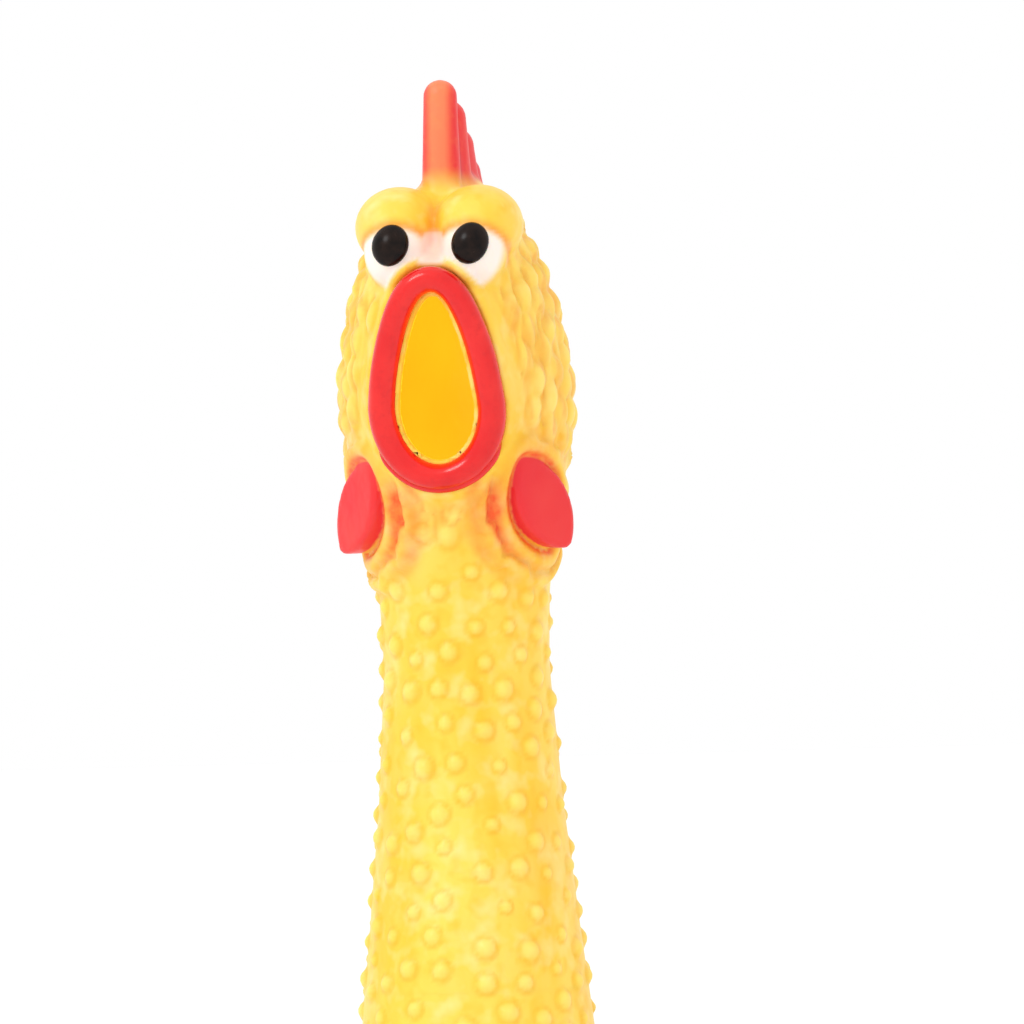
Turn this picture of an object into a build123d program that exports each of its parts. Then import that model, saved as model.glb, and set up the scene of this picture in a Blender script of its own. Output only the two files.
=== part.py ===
"""Rubber chicken: a hollow squeeze toy of soft vinyl with a reed voice unit in its throat.

The toy is one rotationally cast skin. It is divided here where it bends or is squeezed, so that
each section is a solid of its own. Z is up, the face looks along -Y, and the toy's own left is +X.
The origin is on the trunk's centre line, where a hand closes round the body.
"""
from build123d import *
import os

os.makedirs("parts", exist_ok=True)

# ---- Driving dimensions, in millimetres ----
# Skin
wall = 2.0                  # vinyl of the trunk and head
limb_wall = 1.5             # vinyl of the legs
slit = 0.5                  # gap round a panel that moves within the skin

# Trunk, level by level: widths run along X, depths along Y
belly_width = 48.0
belly_depth = 46.0
belly_drop = 12.0           # fullest level, below the grip
crotch_drop = 50.0          # lowest level of the trunk, below the grip
crotch_width = 14.0
chest_width = 42.4
chest_rise = 18.0
torso_rise = 34.0           # where the neck's first bend begins, above the grip
neck_root_width = 36.4      # at the middle of the first bend
neck_mid_width = 32.4       # at the middle of the second bend
neck_top_width = 28.4       # at the middle of the third bend
throat_width = 25.3         # narrowest place, round the voice unit
flatness = 0.975            # depth of the neck over its width
bend_length = 12.0          # each stretch of neck that bends
stiff_length = 6.0          # each stretch of neck between two bends

# Head
throat_rise = 15.0          # narrowest level, above the last bend
jaw_rise = 28.0             # underside of the head, above the last bend
head_height = 59.0          # from the underside of the head to its crown
head_width = 36.3
head_depth = 42.0
head_lead = 2.5             # how far the head's middle stands in front of the neck's
crown_width = 13.0

# Mouth, an upright egg
mouth_half_width = 6.2
mouth_rise = 17.0           # from the widest level up
mouth_drop = 8.7            # from the widest level down
mouth_level = 26.4          # widest level, above the underside of the head
lip_width = 4.1
lip_height = 2.8

# Eyes
eye_spacing = 12.8
eye_radius = 7.0
eye_level = 50.7            # above the underside of the head
eye_bulge = 2.6             # how far an eye stands out of the brow
pupil_radius = 2.9
pupil_height = 1.1

# Comb
comb_height = 16.0          # above the crown
comb_thickness = 5.0
comb_length = 21.0
comb_front = 9.5            # front edge, in front of the neck's axis
comb_root_height = 2.5
comb_points = 3

# Wattles
wattle_height = 13.5
wattle_width = 12.0
wattle_slant = 25.0         # degrees, the upper end leaning to the front
wattle_level = 11.5         # middle, above the underside of the head
wattle_lead = 6.5           # middle, in front of the neck's axis
wattle_thickness = 2.4

# Squeeze panels
panel_width = 27.0
panel_height = 48.0
panel_drop = 11.0           # middle, below the grip

# Wings
wing_length = 43.0
wing_width = 19.0
wing_thickness = 4.5
wing_top = 26.0             # above the grip
wing_root_length = 6.0
wing_setback = 1.0          # middle, behind the trunk's axis
wing_gap = 0.5

# Legs
leg_spacing = 23.0
hip_radius = 9.0
hip_drop = 32.0             # top of the thigh inside the trunk, below the grip
knee_radius = 6.2
knee_drop = 56.0            # top of the knee, below the grip
knee_length = 8.0
shank_top_radius = 5.0
shank_low_radius = 4.0
shank_length = 33.0
ankle_length = 6.0

# Feet, hanging toes down
foot_length = 22.0
foot_width = 20.0
foot_thickness = 5.0
toe_width = 5.2
spur_length = 8.0

# Voice unit
collar_height = 8.0
collar_bore = 18.0          # the skin's moulded collar grips the barrel here
barrel_length = 16.0
barrel_wall = 1.5
flange_width = 20.2
flange_height = 2.0
cover_height = 1.6
cover_hole = 1.1
cover_hole_circle = 4.6
cover_hole_count = 6
seat_height = 4.0           # plug that closes the barrel's upper end
seat_length = 8.0           # tongue that hangs from the plug
seat_width = 7.0
seat_thickness = 1.8
channel_width = 3.6
channel_depth = 1.0
reed_width = 5.2
reed_thickness = 0.25
reed_length = 11.0
reed_sink = 0.5             # top of the reed, below the plug's top
reed_gap = 0.5              # reed off the seat, where air gets past
wedge_thickness = 1.4
wedge_gap = 0.3

# ---- Levels worked out from them ----
low_bend = torso_rise
low_stiff = low_bend + bend_length
mid_bend = low_stiff + stiff_length
mid_stiff = mid_bend + bend_length
top_bend = mid_stiff + stiff_length
head_low = top_bend + bend_length
throat_level = head_low + throat_rise
jaw_level = head_low + jaw_rise
crown_level = jaw_level + head_height
mouth_centre = jaw_level + mouth_level
eye_centre = jaw_level + eye_level
wattle_centre = jaw_level + wattle_level
reach = belly_depth + head_depth      # longer than any cut needs

# The trunk and head, from the crotch to the crown: level, width, depth, lead towards the face
outline = [
    (-crotch_drop, crotch_width, crotch_width, 0),
    (-0.55 * crotch_drop - 0.45 * belly_drop, 0.89 * belly_width, 0.91 * belly_depth, 0),
    (-belly_drop, belly_width, belly_depth, 0),
    (chest_rise, chest_width, flatness * chest_width, 0),
    (low_bend + bend_length / 2, neck_root_width, flatness * neck_root_width, 0),
    (mid_bend + bend_length / 2, neck_mid_width, flatness * neck_mid_width, 0),
    (top_bend + bend_length / 2, neck_top_width, flatness * neck_top_width, 0),
    (throat_level, throat_width, throat_width, 0),
    (jaw_level, 0.72 * head_width, 0.66 * head_depth, 0.1 * head_lead),
    (jaw_level + 0.24 * head_height, 0.89 * head_width, 0.88 * head_depth, 0.7 * head_lead),
    (jaw_level + 0.49 * head_height, head_width, head_depth, head_lead),
    (jaw_level + 0.70 * head_height, 0.88 * head_width, 0.93 * head_depth, head_lead),
    (jaw_level + 0.86 * head_height, 0.72 * head_width, 0.76 * head_depth, 0.9 * head_lead),
    (crown_level, crown_width, 1.2 * crown_width, 0.5 * head_lead),
]


def body_solid(grow):
    """The trunk and head as one solid, with its sides and ends moved out by grow."""
    last = len(outline) - 1
    with BuildPart() as solid:
        for index, (level, width, depth, lead) in enumerate(outline):
            end_shift = -grow if index == 0 else grow if index == last else 0
            with BuildSketch(Plane.XY.offset(level + end_shift)):
                with Locations((0, -lead)):
                    Ellipse(width / 2 + grow, depth / 2 + grow)
        loft()
    return solid.part


outer = body_solid(0)
inner = body_solid(-wall)


def skin_band(low, high):
    """The skin's wall between two levels."""
    with BuildPart() as band:
        add(outer)
        add(inner, mode=Mode.SUBTRACT)
        split(bisect_by=Plane.XY.offset(low), keep=Keep.TOP)
        split(bisect_by=Plane.XY.offset(high), keep=Keep.BOTTOM)
    return band.part


def finish(piece, name):
    piece.label = name
    export_step(piece, f"parts/{name}.step")


# ---- Legs ----
# Each leg is a tapering tube on an upright axis, with its wall divided at the knee and ankle.
knee_low = knee_drop + knee_length
shank_low = knee_low + shank_length
ankle_low = shank_low + ankle_length
leg_outline = [
    (hip_radius, hip_drop),
    (hip_radius, 0.4 * hip_drop + 0.6 * crotch_drop),
    (knee_radius, knee_drop),
    (shank_top_radius, knee_low),
    (shank_low_radius, shank_low),
    (shank_low_radius, ankle_low),
]


def leg_solid(side, inset):
    """One leg from the hip to the ankle, its surface moved in by inset."""
    leg_axis = Axis((side * leg_spacing / 2, 0, 0), (0, 0, 1))
    with BuildPart() as leg:
        with BuildSketch(Plane(origin=leg_axis.position, x_dir=(1, 0, 0), z_dir=(0, -1, 0))):
            with BuildLine():
                points = [(radius - inset, -drop) for radius, drop in leg_outline]
                Polyline((0, -hip_drop), *points, (0, -ankle_low), close=True)
            make_face()
        revolve(axis=leg_axis)
    return leg.part


def leg_band(side, high, low):
    """The leg's wall between two drops below the grip."""
    with BuildPart() as band:
        add(leg_solid(side, 0))
        add(leg_solid(side, limb_wall), mode=Mode.SUBTRACT)
        split(bisect_by=Plane.XY.offset(-low), keep=Keep.TOP)
        split(bisect_by=Plane.XY.offset(-high), keep=Keep.BOTTOM)
    return band.part


thighs = {side: leg_solid(side, 0) for side in (-1, 1)}
thigh_hollows = {side: leg_solid(side, limb_wall) for side in (-1, 1)}
side_names = {-1: "right", 1: "left"}


# ---- Torso: the wall of the trunk, open where a panel moves and where a leg joins ----
def panel_prism(front, grow):
    """The straight way along Y that a squeeze panel moves in."""
    with BuildPart() as prism:
        with BuildSketch(Plane.XZ):
            with Locations((0, -panel_drop)):
                Ellipse(panel_width / 2 + grow, panel_height / 2 + grow)
        extrude(amount=front * reach)
    return prism.part


with BuildPart() as torso_skin:
    add(skin_band(-crotch_drop, low_bend))
    add(panel_prism(1, slit), mode=Mode.SUBTRACT)
    add(panel_prism(-1, slit), mode=Mode.SUBTRACT)
    for hollow in thigh_hollows.values():
        add(hollow, mode=Mode.SUBTRACT)
finish(torso_skin.part, "torso_skin")

for front, panel_name in ((1, "belly_panel"), (-1, "back_panel")):
    with BuildPart() as panel:
        add(outer)
        add(inner, mode=Mode.SUBTRACT)
        add(panel_prism(front, 0), mode=Mode.INTERSECT)
    finish(panel.part, panel_name)

for side, side_name in side_names.items():
    with BuildPart() as thigh:
        add(thighs[side])
        add(thigh_hollows[side], mode=Mode.SUBTRACT)
        add(outer, mode=Mode.SUBTRACT)
        split(bisect_by=Plane.XY.offset(-knee_drop), keep=Keep.TOP)
    finish(thigh.part, f"{side_name}_thigh")
    finish(leg_band(side, knee_drop, knee_low), f"{side_name}_knee")
    finish(leg_band(side, knee_low, shank_low), f"{side_name}_shank")
    finish(leg_band(side, shank_low, ankle_low), f"{side_name}_ankle")


# ---- Feet: three front toes joined by webs, and a spur behind ----
foot_low = ankle_low + foot_length
toe_spread = (foot_width - toe_width) / 2

for side, side_name in side_names.items():
    foot_centre = side * leg_spacing / 2
    with BuildPart() as foot:
        with BuildSketch(Plane(origin=(foot_centre, foot_thickness / 2, 0), x_dir=(1, 0, 0),
                               z_dir=(0, -1, 0))) as sole:
            with BuildLine():
                Polyline(
                    (-shank_low_radius, -ankle_low),
                    (-foot_width / 2, -foot_low + 1.5 * toe_width),
                    (0, -foot_low + 1.2 * toe_width),
                    (foot_width / 2, -foot_low + 1.5 * toe_width),
                    (shank_low_radius, -ankle_low),
                    close=True,
                )
            make_face()
            for toe_shift, toe_rise in ((-toe_spread, 1.0), (0, 0.5), (toe_spread, 1.0)):
                with Locations((toe_shift, -foot_low + toe_rise * toe_width)):
                    Circle(toe_width / 2)
            with Locations((0, -foot_low + 1.5 * toe_width)):
                Rectangle(toe_width, 2 * toe_width)
        extrude(amount=foot_thickness)
        with BuildSketch(Plane.XY.offset(-ankle_low)):
            with Locations((foot_centre, 0)):
                Circle(shank_low_radius)
        extrude(amount=-spur_length)
        with BuildSketch(Plane.XZ):
            with Locations((foot_centre, -ankle_low - spur_length / 2)):
                Circle(toe_width / 2)
        extrude(amount=-spur_length)
    finish(foot.part, f"{side_name}_foot")


# ---- Wings: leaf-shaped flaps that follow the trunk's side and fold out from a root ----
wing_shell = body_solid(wing_gap + wing_thickness)
wing_clear = body_solid(wing_gap)
wing_low = wing_top - wing_root_length


def wing_prism(side):
    """The wing's outline seen from the side, run out along X."""
    with BuildPart() as prism:
        with BuildSketch(Plane(origin=(0, wing_setback, wing_top), x_dir=(0, 1, 0),
                               z_dir=(1, 0, 0))):
            with BuildLine():
                Spline(
                    (-0.36 * wing_width, 0),
                    (-0.5 * wing_width, -0.35 * wing_length),
                    (-0.28 * wing_width, -0.75 * wing_length),
                    (0.12 * wing_width, -wing_length),
                    (0.44 * wing_width, -0.74 * wing_length),
                    (0.5 * wing_width, -0.35 * wing_length),
                    (0.36 * wing_width, 0),
                )
                Line((0.36 * wing_width, 0), (-0.36 * wing_width, 0))
            make_face()
        extrude(amount=side * reach)
    return prism.part


for side, side_name in side_names.items():
    with BuildPart() as wing:
        add(wing_prism(side))
        add(wing_shell, mode=Mode.INTERSECT)
        add(wing_clear, mode=Mode.SUBTRACT)
        split(bisect_by=Plane.XY.offset(wing_low), keep=Keep.BOTTOM)
    finish(wing.part, f"{side_name}_wing")
    with BuildPart() as wing_root:
        add(wing_prism(side))
        add(wing_shell, mode=Mode.INTERSECT)
        add(outer, mode=Mode.SUBTRACT)
        split(bisect_by=Plane.XY.offset(wing_low), keep=Keep.TOP)
    finish(wing_root.part, f"{side_name}_wing_root")


# ---- Neck: stiff stretches between three that bend ----
finish(skin_band(low_bend, low_stiff), "neck_low_bend")
finish(skin_band(low_stiff, mid_bend), "neck_low")
finish(skin_band(mid_bend, mid_stiff), "neck_mid_bend")
finish(skin_band(mid_stiff, top_bend), "neck_mid")
finish(skin_band(top_bend, head_low), "neck_top_bend")


# ---- Mouth: an upright egg, cut through the face and ringed by a raised lip ----
def mouth_prism(grow):
    """The mouth's outline, moved out by grow and run forward from the head's middle."""
    with BuildPart() as prism:
        with BuildSketch(Plane.XZ):
            with BuildLine():
                EllipticalCenterArc((0, mouth_centre), mouth_half_width + grow,
                                    mouth_rise + grow, start_angle=0, arc_size=180)
                EllipticalCenterArc((0, mouth_centre), mouth_half_width + grow,
                                    mouth_drop + grow, start_angle=180, arc_size=180)
            make_face()
        extrude(amount=reach)
    return prism.part


mouth_opening = mouth_prism(0)
mouth_surround = mouth_prism(lip_width)
collar_low = throat_level - collar_height / 2
collar_top = throat_level + collar_height / 2

with BuildPart() as head_skin:
    add(skin_band(head_low, crown_level))
    with BuildSketch(Plane.XY.offset(collar_low)):
        Circle(throat_width / 2 - wall / 2)
    extrude(amount=collar_height)
    with BuildSketch(Plane.XY.offset(collar_low)):
        Circle(collar_bore / 2)
    extrude(amount=collar_height, mode=Mode.SUBTRACT)
    add(mouth_opening, mode=Mode.SUBTRACT)
finish(head_skin.part, "head_skin")

with BuildPart() as lips:
    add(mouth_surround)
    add(body_solid(lip_height), mode=Mode.INTERSECT)
    add(outer, mode=Mode.SUBTRACT)
    add(mouth_opening, mode=Mode.SUBTRACT)
finish(lips.part, "lips")


# ---- Eyes: two domes that meet between the brows, each with a raised pupil ----
eye_shell = body_solid(eye_bulge)
face_depth = head_lead + 0.42 * head_depth      # front of the head at the eyes' level

for side, side_name in side_names.items():
    eye_middle = (side * eye_spacing / 2, eye_radius - face_depth - eye_bulge, eye_centre)
    with BuildPart() as eye:
        with Locations(eye_middle):
            Sphere(eye_radius)
        add(outer, mode=Mode.SUBTRACT)
        add(mouth_surround, mode=Mode.SUBTRACT)
        split(bisect_by=Plane.YZ, keep=Keep.TOP if side > 0 else Keep.BOTTOM)
    finish(eye.part, f"{side_name}_eye")
    with BuildPart() as pupil:
        with BuildSketch(Plane(origin=eye_middle, x_dir=(1, 0, 0), z_dir=(0, -1, 0))):
            Circle(pupil_radius)
        extrude(amount=2 * eye_radius)
        with Locations(eye_middle):
            Sphere(eye_radius + pupil_height, mode=Mode.INTERSECT)
            Sphere(eye_radius, mode=Mode.SUBTRACT)
    finish(pupil.part, f"{side_name}_pupil")


# ---- Comb: one upright blade with falling points, on a root that flexes ----
comb_low = crown_level + comb_root_height
comb_pitch = comb_length / comb_points
comb_fall = 0.24            # how much lower each point is than the one before
comb_foot = crown_level - comb_height / 2


def comb_blade():
    """The blade and its root as one solid, running down into the head."""
    with BuildPart() as blade:
        with BuildSketch(Plane.YZ):
            with BuildLine():
                points = [(-comb_front, comb_foot)]
                for index in range(comb_points):
                    peak = comb_height * (1 - comb_fall * index)
                    start = index * comb_pitch - comb_front
                    points.append((start, crown_level + 0.66 * peak))
                    points.append((start + 0.4 * comb_pitch, crown_level + peak))
                points.append((comb_length - comb_front, crown_level + comb_root_height))
                points.append((comb_length - comb_front, comb_foot))
                Polyline(*points, close=True)
            make_face()
        extrude(amount=comb_thickness / 2, both=True)
        add(outer, mode=Mode.SUBTRACT)
    return blade.part


for comb_name, kept in (("comb", Keep.TOP), ("comb_root", Keep.BOTTOM)):
    with BuildPart() as comb:
        add(comb_blade())
        split(bisect_by=Plane.XY.offset(comb_low), keep=kept)
    finish(comb.part, comb_name)


# ---- Wattles: slanting lobes moulded on the cheeks ----
wattle_shell = body_solid(wattle_thickness)

for side, side_name in side_names.items():
    with BuildPart() as wattle:
        with BuildSketch(Plane(origin=(0, -wattle_lead, wattle_centre), x_dir=(0, 1, 0),
                               z_dir=(1, 0, 0))):
            Ellipse(wattle_width / 2, wattle_height / 2, rotation=wattle_slant)
        extrude(amount=side * reach)
        add(wattle_shell, mode=Mode.INTERSECT)
        add(outer, mode=Mode.SUBTRACT)
    finish(wattle.part, f"{side_name}_wattle")


# ---- Voice unit: a flanged barrel with a reed held on its seat by a wedge ----
barrel_low = collar_top - barrel_length
barrel_bore = collar_bore - 2 * barrel_wall
plug_low = collar_top - seat_height

with BuildPart() as voice_housing:
    with BuildSketch(Plane.XY.offset(barrel_low)):
        Circle(collar_bore / 2)
    extrude(amount=barrel_length)
    with BuildSketch(Plane.XY.offset(collar_top)):
        Circle(flange_width / 2)
    extrude(amount=flange_height)
    with BuildSketch(Plane.XY.offset(barrel_low)):
        Circle(barrel_bore / 2)
    extrude(amount=barrel_length + flange_height, mode=Mode.SUBTRACT)
finish(voice_housing.part, "voice_housing")

with BuildPart() as voice_cover:
    with BuildSketch(Plane.XY.offset(barrel_low - cover_height)):
        Circle(collar_bore / 2)
        Circle(cover_hole, mode=Mode.SUBTRACT)
        with PolarLocations(cover_hole_circle, cover_hole_count):
            Circle(cover_hole, mode=Mode.SUBTRACT)
    extrude(amount=cover_height)
    with BuildSketch(Plane.XY.offset(barrel_low)):
        Circle(barrel_bore / 2)
        Circle(barrel_bore / 2 - limb_wall / 2, mode=Mode.SUBTRACT)
    extrude(amount=cover_height)
finish(voice_cover.part, "voice_cover")

reed_back = -reed_gap - reed_thickness
wedge_face = reed_back - wedge_gap
slot_back = wedge_face - wedge_thickness

with BuildPart() as reed_seat:
    with BuildSketch(Plane.XY.offset(plug_low)):
        Circle(barrel_bore / 2)
        with Locations((0, slot_back / 2)):
            Rectangle(reed_width + 2 * wedge_gap, -slot_back, mode=Mode.SUBTRACT)
    extrude(amount=seat_height)
    with BuildSketch(Plane.XY.offset(plug_low)):
        with Locations((0, seat_thickness / 2)):
            Rectangle(seat_width, seat_thickness)
    extrude(amount=-seat_length)
    with BuildSketch(Plane.XY.offset(plug_low - seat_length + seat_thickness)):
        with Locations((0, channel_depth / 2)):
            Rectangle(channel_width, channel_depth)
    extrude(amount=reach, mode=Mode.SUBTRACT)
finish(reed_seat.part, "reed_seat")

with BuildPart() as reed:
    with BuildSketch(Plane.XY.offset(collar_top - reed_sink)):
        with Locations((0, reed_back / 2 - reed_gap / 2)):
            Rectangle(reed_width, reed_thickness)
    extrude(amount=-reed_length)
finish(reed.part, "reed")

with BuildPart() as reed_wedge:
    with BuildSketch(Plane.XY.offset(plug_low)):
        with Locations((0, (wedge_face + slot_back) / 2)):
            Rectangle(reed_width + 2 * wedge_gap, wedge_thickness)
    extrude(amount=seat_height)
finish(reed_wedge.part, "reed_wedge")
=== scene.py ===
"""Rubber chicken squeeze toy: a soft vinyl casting with a painted face, and its reed voice unit."""
import functools
import math

import bmesh
import bpy
import numpy as np
from mathutils import Matrix, Vector


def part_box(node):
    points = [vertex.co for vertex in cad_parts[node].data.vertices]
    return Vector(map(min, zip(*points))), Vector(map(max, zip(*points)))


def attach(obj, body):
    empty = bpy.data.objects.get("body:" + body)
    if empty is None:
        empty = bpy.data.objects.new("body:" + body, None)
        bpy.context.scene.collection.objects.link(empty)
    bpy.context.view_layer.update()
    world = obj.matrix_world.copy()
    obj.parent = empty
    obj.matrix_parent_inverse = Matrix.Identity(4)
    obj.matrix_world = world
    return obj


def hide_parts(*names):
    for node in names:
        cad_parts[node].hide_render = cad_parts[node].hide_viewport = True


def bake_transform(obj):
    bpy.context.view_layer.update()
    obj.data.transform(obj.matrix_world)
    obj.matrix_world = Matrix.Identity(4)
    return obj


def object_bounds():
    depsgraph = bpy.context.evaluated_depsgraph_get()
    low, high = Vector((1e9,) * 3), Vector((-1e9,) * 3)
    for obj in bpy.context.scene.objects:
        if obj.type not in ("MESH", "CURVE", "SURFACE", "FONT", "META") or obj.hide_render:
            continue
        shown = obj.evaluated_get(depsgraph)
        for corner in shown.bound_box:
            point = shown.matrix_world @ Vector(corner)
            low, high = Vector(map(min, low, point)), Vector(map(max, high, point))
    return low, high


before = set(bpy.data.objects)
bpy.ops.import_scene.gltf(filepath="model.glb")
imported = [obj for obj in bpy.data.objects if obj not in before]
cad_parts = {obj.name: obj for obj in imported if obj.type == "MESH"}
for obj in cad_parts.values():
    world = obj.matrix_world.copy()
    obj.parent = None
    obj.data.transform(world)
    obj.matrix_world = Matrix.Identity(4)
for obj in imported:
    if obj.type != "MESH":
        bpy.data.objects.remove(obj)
cad_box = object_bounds()

# ---- Trunk, neck and head ----
# The body is one hollow casting of soft vinyl, poured in a turning mould. Here it is a field in
# millimetres, negative inside the skin, built from ovals stacked up the toy's middle line.
WALL = 2.0
CROTCH = -50.0
CROWN = 171.5
TRUNK_OVALS = [      # level, half width, half depth, lead of the middle towards the face
    (CROTCH, 0.0, 0.0, 0.0),
    (-44.0, 15.0, 15.0, 0.0),
    (-31.5, 21.4, 21.0, 0.0),
    (-12.0, 24.0, 23.0, 0.0),
    (18.0, 21.2, 20.7, 0.0),
    (40.0, 17.8, 17.6, 0.0),
    (58.0, 15.8, 15.6, 0.0),
    (76.0, 13.9, 13.8, 0.0),
    (97.0, 12.4, 12.6, 0.0),
    (109.0, 12.8, 13.2, 0.0),
    (118.0, 14.4, 15.4, 0.4),
    (126.0, 15.9, 17.8, 0.9),
    (133.0, 17.0, 20.2, 1.2),
    (140.0, 17.3, 21.4, 1.6),
    (151.0, 15.3, 20.4, 2.4),
    (158.0, 13.1, 17.4, 2.8),
    (164.0, 10.0, 12.2, 2.0),
    (168.5, 5.6, 7.0, 1.0),
    (CROWN, 0.0, 0.0, 0.6),
]


def smooth_profile(ovals, step=0.25, past=18, reach=15, steepest=2):
    """Rounds the ovals into a fine table: level, half width, half depth, lead and their slopes."""
    rows = np.array(ovals)
    level = rows[:, 0]
    squares = np.column_stack([rows[:, 1] ** 2, rows[:, 2] ** 2, rows[:, 3]])
    low_slope = (squares[1] - squares[0]) / (level[1] - level[0])
    high_slope = (squares[-1] - squares[-2]) / (level[-1] - level[-2])
    grid = np.concatenate([[level[0] - past], level, [level[-1] + past]])
    values = np.vstack([squares[0] - low_slope * past, squares, squares[-1] + high_slope * past])
    levels = np.arange(level[0] - 12, level[-1] + 12, step)
    window = np.hanning(2 * reach + 1)
    window /= window.sum()
    columns = []
    for column in values.T:
        line = np.interp(levels, grid, column)
        padded = np.concatenate([line[0] + (line[1] - line[0]) * np.arange(-reach, 0), line,
                                 line[-1] + (line[-1] - line[-2]) * np.arange(1, reach + 1)])
        columns.append(np.convolve(padded, window, "valid"))
    sizes = [np.sqrt(np.maximum(square, 1e-4)) for square in columns[:2]] + [columns[2]]
    slopes = [np.clip(np.gradient(line, step), -steepest, steepest) for line in sizes]
    return levels, (*sizes, *slopes)


TRUNK_LEVELS, TRUNK_TABLE = smooth_profile(TRUNK_OVALS)


def trunk(x, y, z):
    """Distance from the plain trunk and head, before anything is modelled on them."""
    wide, deep, lead, wide_slope, deep_slope, lead_slope = (
        np.interp(z, TRUNK_LEVELS, line) for line in TRUNK_TABLE)
    u = x / wide
    v = (y + lead) / deep
    q = np.sqrt(u * u + v * v) + 1e-6
    along = (u * u * wide_slope / wide + v * v * deep_slope / deep - v * lead_slope / deep) / q
    steep = np.sqrt((u / wide) ** 2 + (v / deep) ** 2) / q
    distance = (q - 1) / np.sqrt(steep ** 2 + (along / np.maximum(q, 1)) ** 2)
    return np.maximum(distance, np.maximum(CROTCH - z, z - CROWN))


def ramp(value, low, high):
    """Nought below low, one above high, and a smooth rise between."""
    share = np.clip((value - low) / (high - low), 0, 1)
    return share * share * (3 - 2 * share)


def meld(a, b, soft):
    """Joins two fields with a rounded valley about soft wide."""
    share = np.clip(0.5 + 0.5 * (b - a) / soft, 0, 1)
    return b + (a - b) * share - soft * share * (1 - share)


def joined(fields, soft):
    """Melds a list of fields, one after another."""
    whole = fields[0]
    for field in fields[1:]:
        whole = meld(whole, field, soft)
    return whole


def egg_lump(x, y, z, middle, radii):
    """An egg shape with its own three radii."""
    px, py, pz = x - middle[0], y - middle[1], z - middle[2]
    near = np.sqrt((px / radii[0]) ** 2 + (py / radii[1]) ** 2 + (pz / radii[2]) ** 2) + 1e-6
    steep = np.sqrt((px / radii[0] ** 2) ** 2 + (py / radii[1] ** 2) ** 2 + (pz / radii[2] ** 2) ** 2)
    return near * (near - 1) / (steep + 1e-6)


def finger(x, y, z, start, end, start_radius, end_radius):
    """A rounded bar from start to end that tapers."""
    run = np.subtract(end, start)
    px, py, pz = x - start[0], y - start[1], z - start[2]
    share = np.clip((px * run[0] + py * run[1] + pz * run[2]) / run.dot(run), 0, 1)
    gap = np.sqrt((px - share * run[0]) ** 2 + (py - share * run[1]) ** 2 + (pz - share * run[2]) ** 2)
    return gap - (start_radius + share * (end_radius - start_radius))


def fingers(x, y, z, points, radii, soft=1.0):
    """A chain of tapering bars through the points."""
    bars = zip(points, points[1:], radii, radii[1:])
    return joined([finger(x, y, z, *bar) for bar in bars], soft)


# Each modelled feature: lowest level, highest level, softness of its join, and its field.
# A field gets the mirrored distance from the middle plane, so each serves both sides.
features = []

# ---- Brows and eyes ----
# Two brow bulges with a sharp V between them hood two domes, which are the whites of the eyes.
# All four are moulded in one with the skin, and are only told apart by their paint.
BROW_MIDDLE = (6.0, -12.6, 163.3)
BROW_RADII = (6.6, 8.8, 6.1)
BROW_VALLEY = 0.6    # how wide the V between the brows is rounded
EYE_MIDDLE = (5.8, -16.8, 159.6)
EYE_RADII = (4.9, 6.0, 5.9)


def brow(x, y, z, body):
    return egg_lump(np.hypot(x, BROW_VALLEY), y, z, BROW_MIDDLE, BROW_RADII)


def eye_dome(x, y, z, body):
    return egg_lump(x, y, z, EYE_MIDDLE, EYE_RADII)


features.append((148, 176, 1.3, brow))
features.append((146, 172, 0.9, eye_dome))

# ---- Cheeks, jaw folds and wattles ----
# The jaw ends in a raised fold over each wattle, and thin folds run down from the mouth's corner.
# A wattle is a slanting leaf that stands off the cheek with a rounded edge.
WATTLE_MIDDLE = (12.7, -9.4, 121.6)
WATTLE_TURN = math.radians(50)       # how far round from the front it faces
WATTLE_SLANT = math.radians(36)      # upper end to the front
WATTLE_HALF_LENGTH = 8.1
WATTLE_HALF_WIDTH = 4.8
WATTLE_HALF_THICKNESS = 2.4
LEAF_ROUND = 1.4                     # radius of the leaf's two points
FOLDS = [            # distance out from the wattle's edge, half width, whether it goes all round
    (1.9, 1.2, True),
    (4.8, 1.2, False),
]


def wattle_place(x, y, z):
    """Along the leaf, across it, and out from the cheek, from the wattle's middle."""
    px, py, pz = x - WATTLE_MIDDLE[0], y - WATTLE_MIDDLE[1], z - WATTLE_MIDDLE[2]
    out = px * math.sin(WATTLE_TURN) - py * math.cos(WATTLE_TURN)
    back = px * math.cos(WATTLE_TURN) + py * math.sin(WATTLE_TURN)
    along = pz * math.cos(WATTLE_SLANT) - back * math.sin(WATTLE_SLANT)
    across = back * math.cos(WATTLE_SLANT) + pz * math.sin(WATTLE_SLANT)
    return along, across, out


def leaf_edge(along, across):
    """Distance from a leaf outline with a rounded point at each end."""
    long, wide = WATTLE_HALF_LENGTH - LEAF_ROUND, WATTLE_HALF_WIDTH - LEAF_ROUND
    bend = (long ** 2 + wide ** 2) / (2 * wide)
    beyond = np.abs(along) - long
    off_the_point = beyond * (bend - wide) > np.abs(across) * long
    inner = np.sqrt(along ** 2 + (np.abs(across) + bend - wide) ** 2) - bend
    return np.where(off_the_point, np.hypot(beyond, across), inner) - LEAF_ROUND


def wattle(x, y, z, body):
    along, across, out = wattle_place(x, y, z)
    return -meld(-leaf_edge(along, across), WATTLE_HALF_THICKNESS - np.abs(out), 0.9)


def fold_side(along, across):
    """One below and in front of the wattle, nought behind and above it."""
    return ramp(-(across * 0.85 + along * 0.5), -1.5, 4.0)


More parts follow.
